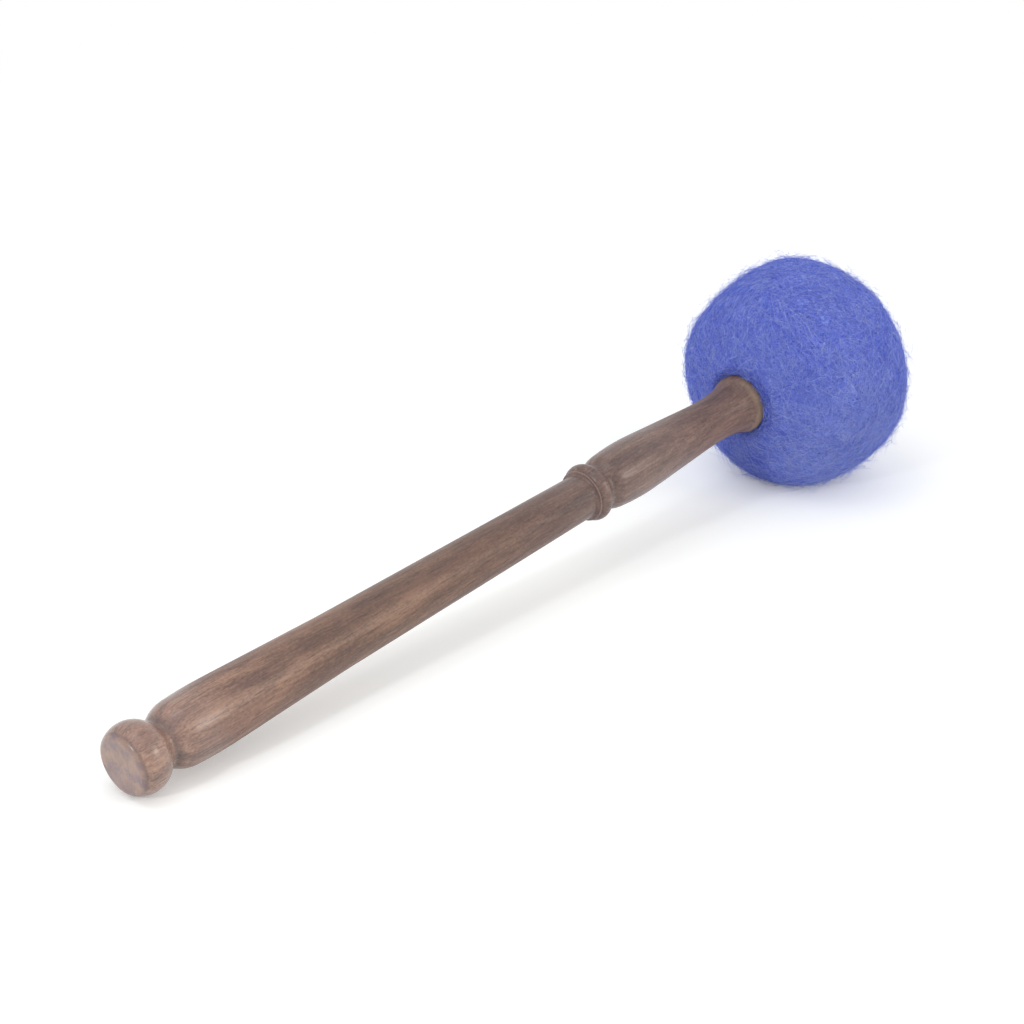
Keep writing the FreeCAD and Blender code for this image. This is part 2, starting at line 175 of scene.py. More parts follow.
# %% Graph
class Graph:
    """A node tree that is filled by method calls."""

    def __init__(self, tree):
        self.tree = tree
        tree.nodes.clear()

    def node(self, kind, settings=None, values=None, output=0):
        """Add a node, set it up, link or fill its sockets, and return one of its outputs."""
        node = self.tree.nodes.new(kind)
        for name, value in (settings or {}).items():
            setattr(node, name, value)
        for name, value in (values or {}).items():
            socket = find_socket(node.inputs, name)
            if isinstance(value, Term):
                self.tree.links.new(value.socket, socket)
            else:
                socket.default_value = value
        return Term(self, find_socket(node.outputs, output)) if node.outputs else None

    def geometry(self, kind, values=None, settings=None, output=0):
        """Add a node of Geometry Nodes, by the rest of its name."""
        return self.node("GeometryNode" + kind, settings, values, output)

    def math(self, operation, *values):
        return self.node("ShaderNodeMath", {"operation": operation}, dict(enumerate(values)))

    def vector_math(self, operation, *values, output=0):
        settings = {"operation": operation}
        return self.node("ShaderNodeVectorMath", settings, dict(enumerate(values)), output)

    def scaled(self, vector, factor):
        """A vector made longer or shorter."""
        values = {"Vector": vector, "Scale": factor}
        return self.node("ShaderNodeVectorMath", {"operation": "SCALE"}, values)

    def way(self, start, end):
        """Direction from one place to another."""
        return self.vector_math("NORMALIZE", self.vector_math("SUBTRACT", end, start))

    def vector(self, x=0.0, y=0.0, z=0.0):
        return self.node("ShaderNodeCombineXYZ", None, {"X": x, "Y": y, "Z": z})

    def parts(self, vector):
        split = self.node("ShaderNodeSeparateXYZ", None, {"Vector": vector})
        return split["X"], split["Y"], split["Z"]

    def object_place(self):
        """Where a point of the surface is, in the piece's own coordinates."""
        return self.node("ShaderNodeTexCoord")["Object"]

    def noise(self, place, scale, detail=2.0, roughness=0.5, output=0):
        """Soft random pattern from 0 to 1. A second output, Color, has three of them."""
        values = {"Vector": place, "Scale": scale, "Detail": detail, "Roughness": roughness}
        return self.node("ShaderNodeTexNoise", None, values, output)

    def waver(self, place, scale, detail=2.0):
        """Three random values from -0.5 to 0.5, to push a place about."""
        noise = self.noise(place, scale, detail, output="Color")
        return self.vector_math("SUBTRACT", noise, (0.5, 0.5, 0.5))

    def step(self, value, low, high):
        """Smooth step: 0 up to low, 1 from high on."""
        settings = {"interpolation_type": "SMOOTHSTEP"}
        values = {"Value": value, "From Min": low, "From Max": high}
        return self.node("ShaderNodeMapRange", settings, values)

    def band(self, value, start, end, soft):
        """1 between two values, fading to 0 over a soft edge on either side."""
        begun = self.step(value, start - soft, start + soft)
        return begun * (1 - self.step(value, end - soft, end + soft))

    def blend(self, factor, first, second, kind="MIX"):
        """Mix two colours."""
        values = {"Factor": factor, "A": first, "B": second}
        settings = {"data_type": "RGBA", "blend_type": kind}
        return self.node("ShaderNodeMix", settings, values, "Result")

    def ramp(self, factor, *stops):
        """Colour that runs from stop to stop, each a place from 0 to 1 and a colour."""
        shade = self.node("ShaderNodeValToRGB", None, {"Fac": factor})
        elements = shade.socket.node.color_ramp.elements
        while len(elements) < len(stops):
            elements.new(0.5)
        for element, (place, tint) in zip(elements, stops):
            element.position, element.color = place, tint
        return shade

    def bump(self, strength, distance, height):
        values = {"Strength": strength, "Distance": distance, "Height": height}
        return self.node("ShaderNodeBump", None, values)


# %% [markdown]
# ## Materials
# Every finish here is one Principled shader, and a function that works out its values. A colour is
# written as a screen shows it, from 0 to 255, and turned into the linear light that shaders need.

# %% Material helpers
WHITE = (1.0, 1.0, 1.0, 1.0)


def colour(red, green, blue):
    """Colour from the 0 to 255 values of a screen, as linear light."""
    light = [(part / 255 + 0.055) / 1.055 for part in (red, green, blue)]
    return (light[0] ** 2.4, light[1] ** 2.4, light[2] ** 2.4, 1.0)


def new_material(name):
    material = bpy.data.materials.new(name)
    material.use_nodes = True
    return material, Graph(material.node_tree)


def make_material(name, finish, *shades):
    """Material with one Principled shader, whose values a finish works out."""
    material, graph = new_material(name)
    surface = graph.node("ShaderNodeBsdfPrincipled", None, finish(graph, *shades))
    graph.node("ShaderNodeOutputMaterial", None, {"Surface": surface})
    print(f"{name}: {len(material.node_tree.nodes)} nodes")
    return material


# %% [markdown]
# ## Floor
# The surface under the mallet is blown out to white, and only the deeper shadows are left. Turning
# the lamps up until it clips would bleach the mallet as well. So they stay at a level at which a
# colour renders about as it is written, and the floor's material mixes white emission into what the
# camera sees of it: a little near the mallet, where the shadows are, and all of it further away.
# Light Path tells the rays by which the camera sees from those that only carry light, so the mallet
# is lit by a plain pale floor.

# %% Floor
FLOOR_SIZE = 4.0
FLOOR_PAINT = (0.92, 0.92, 0.92, 1.0)
SEEN_PAINT = (1.215, 1.240, 1.235, 1.0)    # paler than any paint, to lighten the shadows
GLOW_NEAR, GLOW_FAR = 0.22, 1.0
GLOW_START, GLOW_END = 0.30, 0.75    # distances from the mallet's middle


def seen_directly(graph):
    """1 for the rays by which the camera sees a thing itself, or its image in something shiny."""
    ray = graph.node("ShaderNodeLightPath")
    seen = graph.math("MAXIMUM", ray["Is Camera Ray"], ray["Is Glossy Ray"])
    return graph.math("MAXIMUM", seen, ray["Is Transmission Ray"])


def floor_material():
    material, graph = new_material("white_surface")
    paint = graph.node("ShaderNodeBsdfDiffuse", None, {"Color": FLOOR_PAINT})
    seen_paint = graph.node("ShaderNodeBsdfDiffuse", None, {"Color": SEEN_PAINT})
    glow = graph.node("ShaderNodeEmission", None, {"Color": WHITE, "Strength": 1.0})
    distance = graph.vector_math("LENGTH", graph.object_place(), output="Value")
    blown_out = GLOW_NEAR + graph.step(distance, GLOW_START, GLOW_END) * (GLOW_FAR - GLOW_NEAR)
    seen_floor = graph.node("ShaderNodeMixShader", None, {0: blown_out, 1: seen_paint, 2: glow})
    values = {0: seen_directly(graph), 1: paint, 2: seen_floor}
    surface = graph.node("ShaderNodeMixShader", None, values)
    graph.node("ShaderNodeOutputMaterial", None, {"Surface": surface})
    return material


half = FLOOR_SIZE / 2
corners = [(-half, -half, 0), (half, -half, 0), (half, half, 0), (-half, half, 0)]
floor_mesh = bpy.data.meshes.new("floor")
floor_mesh.from_pydata(corners, [], [(0, 1, 2, 3)])
floor_mesh.materials.append(floor_material())
floor = add_object("floor", floor_mesh)
print(f"The floor is {FLOOR_SIZE:.0f} m wide")

# %% [markdown]
# ## Lamps and world
# The crisp band of shadow along the handle runs away from a small lamp, low beyond the knob's end.
# The soft highlights on the knob, the grip's shoulder and the bulb mirror a softbox far to the
# right. A broad lamp overhead and a white tent, which is the world here, light the rest.
# A lamp's power in watts says little about how bright a thing gets. So each lamp is given by the
# level of light that it adds to a surface facing it, and its power is worked out.

# %% Lamps and world
MALLET_MIDDLE = Vector((0.0, 0.0, 0.03))
SKY_LEVEL = 0.76
NEUTRAL, WARM = (1.0, 1.0, 1.0), (1.0, 0.95, 0.86)
LAMPS = {    # place, width, level, tint
    "overhead_lamp": ((-0.25, 0.10, 0.95), 0.50, 0.11, NEUTRAL),
    "end_lamp": ((-0.95, -0.06, 0.47), 0.08, 0.17, NEUTRAL),
    "right_lamp": ((0.88, -1.80, 0.92), 0.75, 0.18, WARM),
}


def add_lamp(name, place, width, level, tint):
    """Square lamp that is aimed at the mallet's middle and adds a given level of light there."""
    data = bpy.data.lights.new(name, "AREA")
    data.size = width
    data.color = tint
    reach = Vector(place) - MALLET_MIDDLE
    data.energy = level * math.pi ** 2 * reach.length_squared
    lamp = add_object(name, data)
    lamp.location = place
    lamp.rotation_euler = reach.to_track_quat("Z", "Y").to_euler()
    print(f"{name}: {data.energy:.2f} W from {reach.length:.2f} m")


for name, numbers in LAMPS.items():
    add_lamp(name, *numbers)

world = bpy.data.worlds.new("light_tent")
world.use_nodes = True
scene.world = world
sky = Graph(world.node_tree)
backdrop = sky.node("ShaderNodeBackground", None, {"Color": WHITE, "Strength": 1.0})
tent = sky.node("ShaderNodeBackground", None, {"Color": WHITE, "Strength": SKY_LEVEL})
seen_sky = sky.node("ShaderNodeMixShader", None, {0: seen_directly(sky), 1: tent, 2: backdrop})
sky.node("ShaderNodeOutputWorld", None, {"Surface": seen_sky})

# %% [markdown]
# ## Geometry Nodes trees
# A Geometry Nodes tree is built like a material, with named inputs for its sizes. It runs as a
# modifier, whose inputs are set by their identifiers before anything is evaluated. Its result is
# copied into a plain mesh, because a piece has to leave Blender without modifiers.

# %% Tree helpers
def new_tree(name, inputs):
    """Empty Geometry Nodes tree with named inputs, each with its socket type."""
    tree = bpy.data.node_groups.new(name, "GeometryNodeTree")
    sockets = tree.interface
    sockets.new_socket("Geometry", in_out="OUTPUT", socket_type="NodeSocketGeometry")
    for label, kind in {"Geometry": "Geometry", **inputs}.items():
        sockets.new_socket(label, in_out="INPUT", socket_type="NodeSocket" + kind)
    graph = Graph(tree)
    return tree, graph, graph.node("NodeGroupInput")


def finish_tree(graph, geometry, material):
    """Close a tree: real geometry instead of instances, smooth shading and a material."""
    real = graph.geometry("RealizeInstances", {"Geometry": geometry})
    smooth = graph.geometry("SetShadeSmooth", {"Geometry": real})
    done = graph.geometry("SetMaterial", {"Geometry": smooth, "Material": material})
    graph.node("NodeGroupOutput", None, {"Geometry": done})


def run_tree(tree, name, base, **inputs):
    """Run a tree on a mesh, and return the result as a plain object at the origin."""
    piece = add_object(name, base)
    modifier = piece.modifiers.new(tree.name, "NODES")
    modifier.node_group = tree
    values = {label.replace("_", " ").capitalize(): value for label, value in inputs.items()}
    for socket in tree.interface.items_tree:
        if socket.in_out == "INPUT" and socket.name in values:
            modifier[socket.identifier] = values.pop(socket.name)
    assert not values, f"{tree.name} has no input named {list(values)}"
    layers = bpy.context.evaluated_depsgraph_get()
    mesh = bpy.data.meshes.new_from_object(piece.evaluated_get(layers), depsgraph=layers)
    piece.modifiers.remove(modifier)
    piece.data = mesh
    mesh.name = name
    return piece


# %% [markdown]
# ## A lathe made of Geometry Nodes
# A lathe turns one outline about an axis, as Blender's Screw modifier and Spin tool do. A Geometry
# Nodes tree can do more on the way: here it also makes the surface a little uneven, and presses
# flat whatever would sink into the table.
# It starts from a grid with a row for each point of the outline and a column for each side. Each
# vertex finds its outline point by its row and its angle by its column. Welding close vertices then
# shuts the seam and both ends.
# An outline point holds its station, its radius, and how far the surface may give there.

# %% Lathe
WELD = 1e-6


def turn_outline(graph, given, outline):
    """Roll the outline about the X axis and weld it shut. Its gives are kept as an attribute."""
    count = graph.geometry("AttributeDomainSize", {"Geometry": outline})["Point Count"]
    columns = given["Sides"] + 1
    grid = graph.geometry("MeshGrid", {"Vertices X": count, "Vertices Y": columns})
    index = graph.geometry("InputIndex")
    row = graph.math("FLOOR", (index + 0.5) / columns)
    angle = (index - row * columns) * (2 * math.pi) / given["Sides"]
    values = {"Geometry": outline, "Value": graph.geometry("InputPosition"), "Index": row}
    sampled = graph.geometry("SampleIndex", values, {"data_type": "FLOAT_VECTOR"})
    station, radius, give = graph.parts(sampled)
    across, up = graph.math("COSINE", angle), graph.math("SINE", angle)
    rolled = graph.vector(station, radius * across, radius * up)
    values = {"Geometry": grid, "Name": "give", "Value": give}
    kept = graph.geometry("StoreNamedAttribute", values)
    turned = graph.geometry("SetPosition", {"Geometry": kept, "Position": rolled})
    return graph.geometry("MergeByDistance", {"Geometry": turned, "Distance": WELD})


def make_lathe():
    inputs = {"Sides": "Int", "Start": "Vector", "Turn": "Vector", "Lump": "Float",
              "Lump size": "Float", "Material": "Material"}
    tree, graph, given = new_tree("lathe", inputs)
    turned = turn_outline(graph, given, given["Geometry"])
    values = {"Geometry": turned, "Translation": given["Start"], "Rotation": given["Turn"]}
    laid = graph.geometry("Transform", values)

    # Lumps along the normals, as far as the surface gives, and nothing below the table
    place = graph.geometry("InputPosition")
    soft = graph.geometry("InputNamedAttribute", {"Name": "give"})
    lump = (graph.noise(place, 1 / given["Lump size"], 3.0) - 0.5) * 2 * given["Lump"] * soft
    push = graph.scaled(graph.geometry("InputNormal"), lump)
    uneven = graph.geometry("SetPosition", {"Geometry": laid, "Offset": push})
    x, y, z = graph.parts(place)
    above = graph.vector(x, y, graph.math("MAXIMUM", z, 0.0))
    lying = graph.geometry("SetPosition", {"Geometry": uneven, "Position": above})
    finish_tree(graph, lying, given["Material"])
    return tree


lathe = make_lathe()
print("The lathe is a tree of", len(lathe.nodes), "nodes")

# %% [markdown]
# ## Turning a piece
# The outline goes to the lathe as a mesh of points joined by edges. The volume that comes back is
# the sum of the tetrahedra between each triangle and the origin, so it is above zero only if the
# faces point outwards.

# %% Turn a piece
CUBIC_CM = 1e6


def volume(mesh):
    """Enclosed volume in cubic centimetres."""
    mesh.calc_loop_triangles()
    total = 0.0
    for triangle in mesh.loop_triangles:
        a, b, c = [mesh.vertices[corner].co for corner in triangle.vertices]
        total += a.dot(b.cross(c)) / 6
    return total * CUBIC_CM


def turn_piece(name, outline, material, sides, lump, lump_size):
    """Turn an outline of stations, radii and gives about the mallet's axis."""
    line = bpy.data.meshes.new(name + "_outline")
    line.from_pydata(outline, [(i, i + 1) for i in range(len(outline) - 1)], [])
    piece = run_tree(lathe, name, line, sides=sides, start=AXIS_START, turn=(0.0, -AXIS_TILT, 0.0),
                     lump=lump, lump_size=lump_size, material=material)
    print(f"{name}: {len(piece.data.polygons)} faces, {volume(piece.data):.2f} cubic centimetres")
    return piece


# %% [markdown]
# ## Dark hardwood
# The handle is cut from a plank, so the log's growth rings cross it as long streaks, and its pores
# are short dark scratches along it. A picture of wood would stretch on the turned forms. A pattern
# in space doesn't: the material is the plank, and the turned shape cuts through it.
# A Mapping node turns the space into plank coordinates, in which X runs along the handle. Noise
# that is scaled much less along X than across it is drawn out into streaks.

# %% Wood pattern
HEART = (0.047, -0.031)    # where the log's heart lies, across the plank
HEART_SLANT = 0.012        # how far it wanders for each metre of handle
RING_WIDTH = 0.0031
RING_WANDER = 0.007
PORE_START, PORE_FULL = 0.56, 0.72


def plank_space(graph):
    """Stations along the axis and the two distances across it, in metres."""
    values = {"Vector": graph.object_place(), "Location": AXIS_START,
              "Rotation": (0.0, -AXIS_TILT, 0.0)}
    return graph.parts(graph.node("ShaderNodeMapping", {"vector_type": "TEXTURE"}, values))


def drawn_out(graph, x, y, z, along, across, detail=2.0, roughness=0.5, output=0):
    """Noise with one scale along the plank and another across it."""
    place = graph.vector(x * along, y * across, z * across)
    return graph.noise(place, 1.0, detail, roughness, output)


def wood_pattern(graph, x, y, z):
    """Growth rings, broad bands, fine streaks and dark pores of a plank, each from 0 to 1."""
    wander = drawn_out(graph, x, y, z, 5, 22, output="Color")
    wander_y, wander_z, _ = graph.parts(wander)
    side = y + (wander_y - 0.5) * RING_WANDER - HEART[0] + x * HEART_SLANT
    height = z + (wander_z - 0.5) * RING_WANDER - HEART[1]
    distance = graph.math("SQRT", side * side + height * height)
    rings = graph.math("SINE", distance * (2 * math.pi / RING_WIDTH)) * 0.5 + 0.5
    bands = drawn_out(graph, x, y, z, 12, 230)
    streaks = drawn_out(graph, x, y, z, 110, 1250, 3.0, 0.7)
    pores = drawn_out(graph, x, y, z, 75, 2100)
    return rings, bands, streaks, graph.step(pores, PORE_START, PORE_FULL)


print(f"The log's heart is {math.hypot(*HEART) * 1000:.0f} mm from the handle's axis")

# %% [markdown]
# ## Colour, painted shade and painted highlights of the handle
# Some marks belong to a place and not to the plank. The middle of the grip is darker and browner,
# the ring, bulb and collar are darker and greyer, the butt end is painted lighter where the lamp
# beyond the knob lights it, and the collar is duller. Painted shade darkens the edge of the knob's
# end face, the neck, and the groove and valley of the ring. Painted highlights lighten the lip of
# the ring and the near side of the collar's rim. Tables list where each mark begins and ends along
# the handle and how soft its edges are. A tint above 1 brightens the wood. The knob's end shows
# clouds of end grain.

# %% Dark hardwood
PLANK_TURN = (0.03, -0.02)        # slant of the grain to the handle
GRAIN_SHARES = (0.08, 0.40, 0.60, 0.40, 0.35)    # rings, bands, streaks, patches, grit
LAYER_UP = (0.31, 0.95)           # which way the dark layer's face looks
LAYER_RANGE = (0.0042, 0.0074)    # how high above the axis it lies
# Painted shade for hollows and edges, a painted highlight for the ring's lip, painted light for the
# rim
PAINTED_SHADE, PAINTED_LIP_HIGHLIGHT, PAINTED_RIM_LIGHT = colour(66, 50, 50), colour(170, 136, 126), colour(168, 146, 116)
TINTS_AND_PAINTED_LIGHT = [    # from, to, soft edge, tint
    (0.05, 0.18, 0.03, (0.89, 0.83, 0.75, 1.0)),      # middle of the grip, darker and browner
    (0.1475, 1.0, 0.0175, (0.87, 0.86, 0.91, 1.0)),   # ring, bulb and collar
    (-1.0, 0.05, 0.05, (1.40, 1.37, 1.34, 1.0)),      # butt end, painted lighter where the lamp beyond the knob lights it
]
# Painted shade in the hollows and on the end face's edge, and a painted highlight on the ring's lip
PAINTED_SHADE_AND_HIGHLIGHT = [    # from, to, soft edge, strength, shade
    (0.0004, 0.0014, 0.0004, 0.55, PAINTED_SHADE),    # painted shade on the edge of the end face
    (0.0138, 0.0162, 0.0010, 0.50, PAINTED_SHADE),    # painted shade in the neck
    (0.2003, 0.2008, 0.0002, 0.30, PAINTED_LIP_HIGHLIGHT),     # painted highlight on the lip of the ring
    (0.2011, 0.2014, 0.0002, 0.45, PAINTED_SHADE),    # painted shade in the groove
    (0.2064, 0.2074, 0.0005, 0.20, PAINTED_SHADE),    # painted shade in the valley
]
# Span of the painted highlight on the near side of the collar's rim
LIT_RIM_SPAN = (0.2826, 0.2868)
END_FACE = (0.0002, 0.0016)
KNOB_GLOSS, BULB_GLOSS, COLLAR_DULL = (0.024, 0.037), (0.17, 0.21), (0.225, 0.265)


def plank_colour(graph, x, y, z, pattern, patches):
    """Colour of the fresh plank: grain, ruddy clouds and one dark layer."""
    rings, bands, streaks, _ = pattern
    grit = drawn_out(graph, x, y, z, 900, 1500)
    tone = 0.5
    for part, share in zip((rings, bands, streaks, patches, grit), GRAIN_SHARES):
        tone = tone + (part - 0.5) * share
    wood = graph.ramp(tone, (0.30, colour(84, 62, 57)), (0.5, colour(119, 92, 81)),
                      (0.70, colour(152, 120, 102)))
    ruddy = graph.noise(graph.vector(x * 18, y * 120 + 7, z * 120), 1.0)
    wood = graph.blend(graph.step(ruddy, 0.48, 0.66) * 0.3, wood, colour(138, 104, 92))
    layer = y * LAYER_UP[0] + z * LAYER_UP[1] + (patches - 0.5) * 0.004
    return graph.blend(graph.band(layer, *LAYER_RANGE, 0.0011) * 0.22, wood, colour(88, 72, 73))


def tinted_and_painted_colour(graph, x, y, z, wood, pores, patches):
    """The plank's colour with its tints, painted light, painted shade and highlights, and end grain.
    """
    # Tints along the handle; the butt end's is painted light
    for start, end, soft, tint in TINTS_AND_PAINTED_LIGHT:
        wood = graph.blend(graph.band(x, start, end, soft), wood, tint, "MULTIPLY")
    wood = graph.blend(pores * 0.4, wood, colour(70, 53, 51))
    # Noise that breaks up the painted shade and the painted highlights
    mark_patchiness = drawn_out(graph, x, y, z, 400, 400) * 0.8 + 0.5
    # Painted shade in the hollows and on the end face's edge, and a painted highlight on the ring's
    # lip
    for start, end, soft, strength, shade in PAINTED_SHADE_AND_HIGHLIGHT:
        wood = graph.blend(graph.band(x, start, end, soft) * mark_patchiness * strength, wood, shade)
    # Painted highlight on the near side of the rim, where it catches the light
    rim = graph.band(x + (patches - 0.5) * 0.002, *LIT_RIM_SPAN, 0.0010)
    rim = rim * graph.step(0 - y, -0.002, 0.006)
    wood = graph.blend(rim * mark_patchiness * 0.55, wood, PAINTED_RIM_LIGHT)
    clouds = graph.step(graph.noise(graph.vector(0.0, y * 210, z * 210 + 3), 1.0), 0.40, 0.60)
    end_grain = graph.blend(clouds, colour(126, 106, 112), colour(160, 130, 114))
    return graph.blend((1 - graph.step(x, *END_FACE)) * 0.6, wood, end_grain)


def hardwood_finish(graph):
    x, y, z = plank_space(graph)
    pattern = wood_pattern(graph, x, y + x * PLANK_TURN[0], z + x * PLANK_TURN[1])
    _, _, streaks, pores = pattern
    patches = drawn_out(graph, x, y, z, 26, 85, 3.0)
    wood = plank_colour(graph, x, y, z, pattern, patches)
    full = graph.step(x, *BULB_GLOSS) * 0.4 + (1 - graph.step(x, *KNOB_GLOSS)) * 0.75
    gloss = (0.22 + full) * (1 - graph.step(x, *COLLAR_DULL) * 0.85) * (0.7 + patches * 0.6)
    return {
        "Base Color": tinted_and_painted_colour(graph, x, y, z, wood, pores, patches),
        "Roughness": 0.46 + pores * 0.2 + streaks * 0.1,
        "Normal": graph.bump(0.25, 0.0001, streaks - pores * 1.5),
        "Coat Weight": gloss,
        "Coat Roughness": 0.27,
    }


walnut = make_material("walnut", hardwood_finish)

# %% [markdown]
# ## Handle
# On the real mallet the handle is one stick: a ball knob with a flat end, a narrow neck, a long
# tapered grip, a ring of fine mouldings, a bulb, and a flared collar that presses into the felt. A
# tenon goes on into the head.
# The CAD solid has that shape already. It is turned again here with many more sides, from the
# outline of the solid itself, so that its highlights run smoothly.

# %% Handle
HANDLE_SIDES = 192
THIN_STEP = 0.00003
CRISP_EDGE = math.radians(28)


def thinned(points):
    """Leave out points that nearly repeat the one before."""
    kept = [points[0]]
    for point in points[1:]:
        if math.dist(point, kept[-1]) > THIN_STEP:
            kept.append(point)
    return kept


handle_points = thinned(turned_points(nodes["handle"]))
handle_end = handle_points[-1][0]
handle_outline = [(handle_end, 0.0, 0.0)]
handle_outline += [(*point, 1.0) for point in handle_points[::-1]]
handle_outline.append((0.0, 0.0, 0.0))
handle = turn_piece("turned_handle", handle_outline, walnut, HANDLE_SIDES, lump=0.00003,
                    lump_size=0.012)
handle.data.set_sharp_from_angle(angle=CRISP_EDGE)
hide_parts("handle")
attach(handle, "root")

# %% [markdown]
# ## Outlines of the head
# The head bulges everywhere, so the upper hull of a solid's points is its outer outline: the line
# that a string pulled tight over them would take. Points of a hollow inside stay below that string.

# %% Outlines of the head
def upper_hull(points):
    """Outline of a form that bulges everywhere, from its first point to its last."""
    hull = []
    for x, y in points:
        while len(hull) > 1:
            (ax, ay), (bx, by) = hull[-2:]
            if (bx - ax) * (y - ay) < (by - ay) * (x - ax):
                break
            hull.pop()
        hull.append((x, y))
    return hull


core_hull = upper_hull(turned_points(nodes["head_core"]))
wadding_hull = upper_hull(turned_points(nodes["wool_wadding"]))
felt_hull = upper_hull(turned_points(nodes["felt_skin"]))
MOUTH_STATION, MOUTH_RADIUS = felt_hull[0]
HEAD_MIDDLE_STATION = (MOUTH_STATION + felt_hull[-1][0]) / 2
HEAD_MIDDLE = on_axis(HEAD_MIDDLE_STATION)
print(f"The head's middle is at station {HEAD_MIDDLE_STATION * 1000:.1f} mm")

# %% [markdown]
# ## Blue felt
# Felt is wool that was rubbed wet until its fibres locked. Close to, it is a mat of fine curly
# threads, lighter where they catch the light and deep blue between them.
# The contour lines of a soft noise wander and close on themselves just as such threads do, so a
# point is on a thread where the noise is close to a half. Three sizes of thread lie over one
# another. Low on the side that faces the camera the wool is paler and less worked, and it is also
# painted lighter, for the light that the floor throws up there. Painted shade darkens the felt
# round the mouth, where it meets the collar.

# %% Felt
# Low side of the head: paler wool there, and painted light for the light thrown up by the floor
PALE_AND_LIT_SIDE = (-0.248, -0.876, -0.417)    # direction from the head's middle
THREADS = [(330.0, 0.05, 0.5), (560.0, 0.06, 0.4), (900.0, 0.08, 0.3)]    # scale, width, share
# Painted shade round the felt's mouth, where it meets the collar
PAINTED_MOUTH_SHADE = (0.66, 0.66, 0.72, 1.0)
MOUTH_REACH, MOUTH_DEPTH = (0.0100, 0.0150), (0.295, 0.310)


def threads(graph, place, scale, width):
    """Thin wandering lines: the places where a noise is close to a half."""
    away = graph.math("ABSOLUTE", graph.noise(place, scale, 1.5) - 0.5)
    return 1 - graph.step(away, 0.0, width)


def pale_and_lit_share(graph, place):
    """From 0 to 1 towards the low side of the head: paler felt, and painted light from the floor."""
    way = graph.way(tuple(HEAD_MIDDLE), place)
    facing = graph.vector_math("DOT_PRODUCT", way, PALE_AND_LIT_SIDE, output="Value")
    return graph.step(facing, 0.55, 0.99)


def felt_finish(graph):
    place = graph.object_place()
    swirled = graph.vector_math("ADD", place, graph.scaled(graph.waver(place, 55.0), 0.02))
    mat = 0.0
    for scale, width, share in THREADS:
        mat = mat + threads(graph, swirled, scale, width) * share
    clouds = graph.noise(place, 42.0, 3.0)
    specks = graph.noise(place, 700.0)
    tone = mat * 0.65 + (clouds - 0.5) * 0.5 + (specks - 0.5) * 1.1 + 0.29
    wool = graph.ramp(tone, (0.1, colour(66, 80, 182)), (0.45, colour(115, 131, 226)),
                      (0.9, colour(158, 176, 250)))
    x, y, z = plank_space(graph)
    radius = graph.math("SQRT", y * y + z * z)
    # Painted shade darkens the felt round the mouth
    mouth = (1 - graph.step(radius, *MOUTH_REACH)) * (1 - graph.step(x, *MOUTH_DEPTH))
    wool = graph.blend(mouth, wool, PAINTED_MOUTH_SHADE, "MULTIPLY")
    # Paler wool and painted light on the low side that faces the camera
    wool = graph.blend(pale_and_lit_share(graph, place) * mat * 0.6, wool, colour(170, 188, 255))
    return {
        "Base Color": wool,
        "Roughness": 0.9,
        "Specular IOR Level": 0.2,
        "Sheen Weight": 1.0,
        "Sheen Roughness": 0.3,
        "Sheen Tint": colour(176, 194, 255),
        "Normal": graph.bump(0.7, 0.0004, mat + specks * 0.6),
    }


blue_felt = make_material("blue_felt", felt_finish)

# %% [markdown]
# ## Felt head
# The head is a thick felt shell over wadding and a wooden core. Nothing swells between seams, as in
# a sewn cushion, so a cloth simulation has nothing to do here. The ball is turned on the same lathe
# and allowed to give by half a millimetre, which makes it as lumpy as hand felted wool.
# Hands never press a ball evenly, so a few broad swells and flats are added afterwards. The ground
# is also set back by almost a millimetre, because the fuzz on it makes the head look larger, but
# not at the mouth, where the felt meets the collar, or where the head rests.

# %% Outline of the felt shell
SOFT_GAP = 0.00015    # between felt, wool and wood
FELT_STEP = 0.0007
TENON_START, BEVEL_RADIUS = 0.287, 0.0055
COLLAR_START, SHOULDER = 0.28, 0.001
LIP_BACK, LIP_DEPTH = 0.0001, 0.0003


def divided(points, step):
    """Add points until no stretch is longer than a step."""
    result = [points[0]]
    for first, second in zip(points, points[1:]):
        pieces = math.ceil(math.dist(first, second) / step)
        for part in range(1, pieces + 1):
            result.append(tuple(a + (b - a) * part / pieces for a, b in zip(first, second)))
    return result


def widened(outline, gap):
    """Outline moved out by a gap, for the space round a bulging piece."""
    middle = (outline[0][0] + outline[-1][0]) / 2
    return [(station + math.copysign(gap, station - middle), radius + gap)
            for station, radius in outline]


def shell_outline(outside, inside, hole_radius, seat=()):
    """Closed shell: over its outside, which gives, through its hole and round its inside."""
    back, front = outside[-1][0], inside[0][0]
    shown = [(back, 0.0)] + divided(outside[::-1], FELT_STEP)
    hidden = list(seat) + [(front, hole_radius)] + inside + [(inside[-1][0], 0.0)]
    return [(*point, 1.0) for point in shown] + [(*point, 0.0) for point in hidden]


tenon_radius = min(radius for station, radius in handle_points
                   if station > TENON_START and radius > BEVEL_RADIUS)
rim_radius = max(radius for station, radius in handle_points if station > COLLAR_START)
collar_back = max(station for station, radius in handle_points
                  if radius > tenon_radius + SHOULDER)
print(f"Collar: radius {rim_radius * 1000:.2f} mm, back at station {collar_back * 1000:.1f} mm")

seat = [(MOUTH_STATION - LIP_BACK, MOUTH_RADIUS - LIP_DEPTH)]
seat += [(station + SOFT_GAP, radius + SOFT_GAP) for station, radius in handle_points
         if station > MOUTH_STATION - LIP_BACK and radius > tenon_radius + SHOULDER]
seat.append((collar_back + SOFT_GAP, tenon_radius + SOFT_GAP))
felt_space = widened(wadding_hull, SOFT_GAP)
felt_outline = shell_outline(felt_hull, felt_space, tenon_radius + SOFT_GAP, seat)

